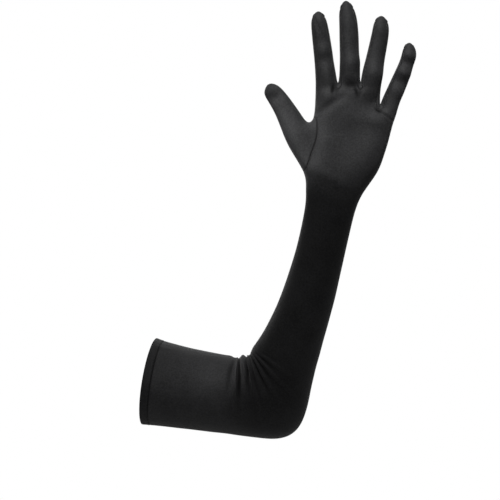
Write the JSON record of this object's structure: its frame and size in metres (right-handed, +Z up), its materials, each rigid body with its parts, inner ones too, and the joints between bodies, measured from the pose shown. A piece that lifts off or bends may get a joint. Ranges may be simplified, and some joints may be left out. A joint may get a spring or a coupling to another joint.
{
  "type": "long satin glove",
  "caption": "Long stretch-satin dress glove for a left hand, cuff above the elbow, shaped by a bent arm with the fingers spread.",
  "frame": {"origin": "centre of the cuff's mouth, where the arm goes in", "axes": "+X from the cuff along the upper arm to the elbow, +Z up the forearm to the fingertips, -Y out of the palm towards the viewer"},
  "size_m": [0.2804, 0.1329, 0.4487],
  "materials": {
    "satin": "satin weave, soft sheen",
    "fourchette_satin": "satin weave, soft sheen",
    "hem_satin": "satin weave, doubled and stitched"
  },
  "bodies": {
    "root": {"sleeve": "satin", "palm": "satin", "back": "satin", "thumb": "satin", "fourchette_index_middle": "fourchette_satin", "fourchette_middle_ring": "fourchette_satin", "fourchette_ring_little": "fourchette_satin", "cuff_hem": "hem_satin"}
  },
  "joints": []
}
